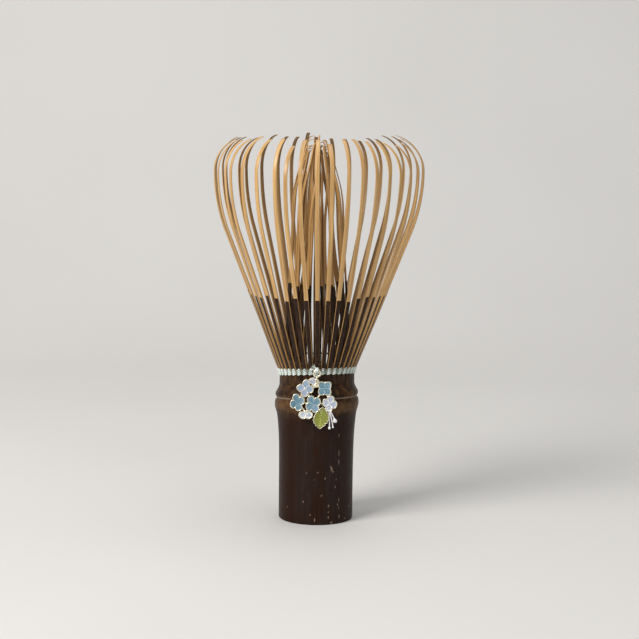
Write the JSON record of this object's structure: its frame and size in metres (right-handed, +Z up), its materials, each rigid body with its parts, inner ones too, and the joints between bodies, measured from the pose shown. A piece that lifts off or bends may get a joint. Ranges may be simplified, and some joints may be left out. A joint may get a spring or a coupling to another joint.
{
  "type": "tea whisk",
  "caption": "Bamboo matcha whisk: dark culm handle, splayed outer tines round a gathered inner bundle, thread binding and a hanging enamel flower charm.",
  "frame": {"origin": "middle of the handle's foot, on the surface it stands on", "axes": "+Z up the handle, -Y towards the front with the charm, +X to the right seen from the front"},
  "size_m": [0.0626, 0.0626, 0.115],
  "materials": {
    "dark_culm": "semi-gloss smoked bamboo skin",
    "outer_bamboo": "shaved bamboo, dark skin below",
    "inner_bamboo": "shaved bamboo",
    "thread": "matt twisted thread",
    "gold": "polished gold plate",
    "enamel_blue": "glossy enamel",
    "enamel_green": "glossy enamel",
    "enamel_white": "glossy enamel"
  },
  "bodies": {
    "root": {"handle": "dark_culm", "outer_tine_01": "outer_bamboo", "outer_tine_02": "outer_bamboo", "outer_tine_03": "outer_bamboo", "outer_tine_04": "outer_bamboo", "outer_tine_05": "outer_bamboo", "outer_tine_06": "outer_bamboo", "outer_tine_07": "outer_bamboo", "outer_tine_08": "outer_bamboo", "outer_tine_09": "outer_bamboo", "outer_tine_10": "outer_bamboo", "outer_tine_11": "outer_bamboo", "outer_tine_12": "outer_bamboo", "outer_tine_13": "outer_bamboo", "outer_tine_14": "outer_bamboo", "outer_tine_15": "outer_bamboo", "outer_tine_16": "outer_bamboo", "outer_tine_17": "outer_bamboo", "outer_tine_18": "outer_bamboo", "outer_tine_19": "outer_bamboo", "outer_tine_20": "outer_bamboo", "outer_tine_21": "outer_bamboo", "outer_tine_22": "outer_bamboo", "outer_tine_23": "outer_bamboo", "outer_tine_24": "outer_bamboo", "outer_tine_25": "outer_bamboo", "outer_tine_26": "outer_bamboo", "outer_tine_27": "outer_bamboo", "outer_tine_28": "outer_bamboo", "outer_tine_29": "outer_bamboo", "outer_tine_30": "outer_bamboo", "outer_tine_31": "outer_bamboo", "outer_tine_32": "outer_bamboo", "outer_tine_33": "outer_bamboo", "outer_tine_34": "outer_bamboo", "outer_tine_35": "outer_bamboo", "outer_tine_36": "outer_bamboo", "outer_tine_37": "outer_bamboo", "outer_tine_38": "outer_bamboo", "outer_tine_39": "outer_bamboo", "outer_tine_40": "outer_bamboo", "inner_tines": "inner_bamboo", "binding_thread": "thread", "separator_thread": "thread", "thread_knot": "thread"},
    "ring": {"charm_ring": "gold"},
    "link": {"charm_link": "gold"},
    "charm": {"charm_frame": "gold", "enamel_flower_a": "enamel_blue", "enamel_flower_b": "enamel_blue", "enamel_flower_c": "enamel_blue", "enamel_flower_d": "enamel_blue", "enamel_flower_e": "enamel_blue", "enamel_flower_f": "enamel_blue", "enamel_flower_g": "enamel_blue", "enamel_leaf": "enamel_green", "bud_1": "enamel_white", "bud_2": "enamel_white", "bud_3": "enamel_white"}
  },
  "joints": [
    {"name": "ring_lift", "type": "hinge", "parent": "root", "child": "ring", "pos_m": [0, -0.01385, 0.04735], "axis": [-1, 0, 0], "range_deg": [0, 90]},
    {"name": "link_lift", "type": "hinge", "parent": "ring", "child": "link", "pos_m": [0, -0.01385, 0.04525], "axis": [-1, 0, 0], "range_deg": [0, 50]},
    {"name": "charm_swing", "type": "hinge", "parent": "link", "child": "charm", "pos_m": [0, -0.01385, 0.04415], "axis": [0, 1, 0], "range_deg": [-25, 25]}
  ]
}
